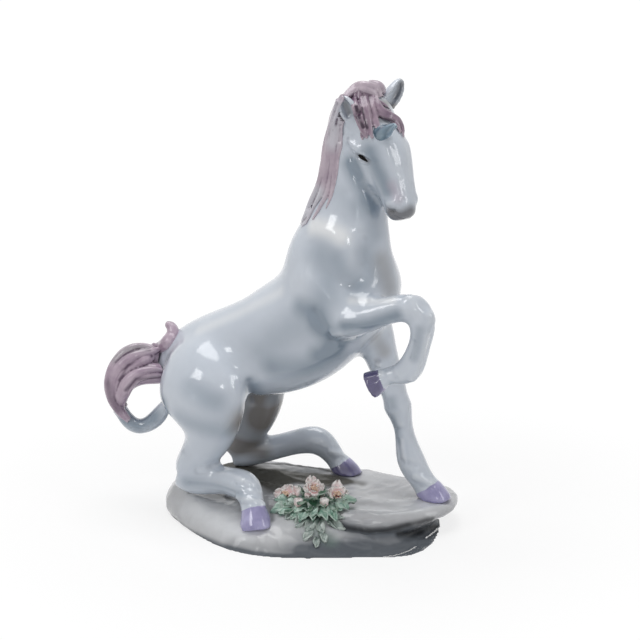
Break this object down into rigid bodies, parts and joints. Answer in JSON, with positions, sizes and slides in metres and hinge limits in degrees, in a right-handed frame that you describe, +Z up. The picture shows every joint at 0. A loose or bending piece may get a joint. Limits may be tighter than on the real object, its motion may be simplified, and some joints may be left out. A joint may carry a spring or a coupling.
{
  "type": "unicorn figurine",
  "caption": "Glazed porcelain figurine of a young unicorn rising from its haunches on a rock, one foreleg lifted, a spray of blossoms at its feet.",
  "frame": {"origin": "middle of the layout on the flat underside of the rock, at the resting plane", "axes": "+X along the figure towards the head, +Y away from the display front, +Z up"},
  "size_m": [0.1943, 0.1137, 0.2488],
  "materials": {
    "body_glaze": "gloss",
    "mane_glaze": "gloss",
    "hoof_glaze": "gloss",
    "horn_glaze": "gloss",
    "rock_glaze": "gloss",
    "petal_glaze": "gloss",
    "flower_centre_glaze": "gloss",
    "leaf_glaze": "gloss"
  },
  "bodies": {
    "root": {"torso": "body_glaze", "neck": "body_glaze", "head": "body_glaze", "right_ear": "body_glaze", "left_ear": "body_glaze", "right_thigh": "body_glaze", "right_hind_cannon": "body_glaze", "left_thigh": "body_glaze", "left_hind_cannon": "body_glaze", "right_forearm": "body_glaze", "right_fore_cannon": "body_glaze", "left_forearm": "body_glaze", "left_fore_cannon": "body_glaze", "tail_dock": "body_glaze", "poll_tuft": "mane_glaze", "right_forelock": "mane_glaze", "left_forelock": "mane_glaze", "upper_mane": "mane_glaze", "middle_mane": "mane_glaze", "lower_mane": "mane_glaze", "outer_tail_lock": "mane_glaze", "inner_tail_lock": "mane_glaze", "curl_tail_lock": "mane_glaze", "right_hind_hoof": "hoof_glaze", "left_hind_hoof": "hoof_glaze", "right_fore_hoof": "hoof_glaze", "left_fore_hoof": "hoof_glaze", "horn": "horn_glaze", "rock_base": "rock_glaze", "left_flower_petals": "petal_glaze", "middle_flower_petals": "petal_glaze", "right_flower_petals": "petal_glaze", "left_flower_centre": "flower_centre_glaze", "middle_flower_centre": "flower_centre_glaze", "right_flower_centre": "flower_centre_glaze", "left_bud": "flower_centre_glaze", "right_bud": "flower_centre_glaze", "flower_bed": "leaf_glaze", "far_left_leaf": "leaf_glaze", "left_leaf": "leaf_glaze", "middle_left_leaf": "leaf_glaze", "middle_right_leaf": "leaf_glaze", "right_leaf": "leaf_glaze", "far_right_leaf": "leaf_glaze"}
  },
  "joints": []
}
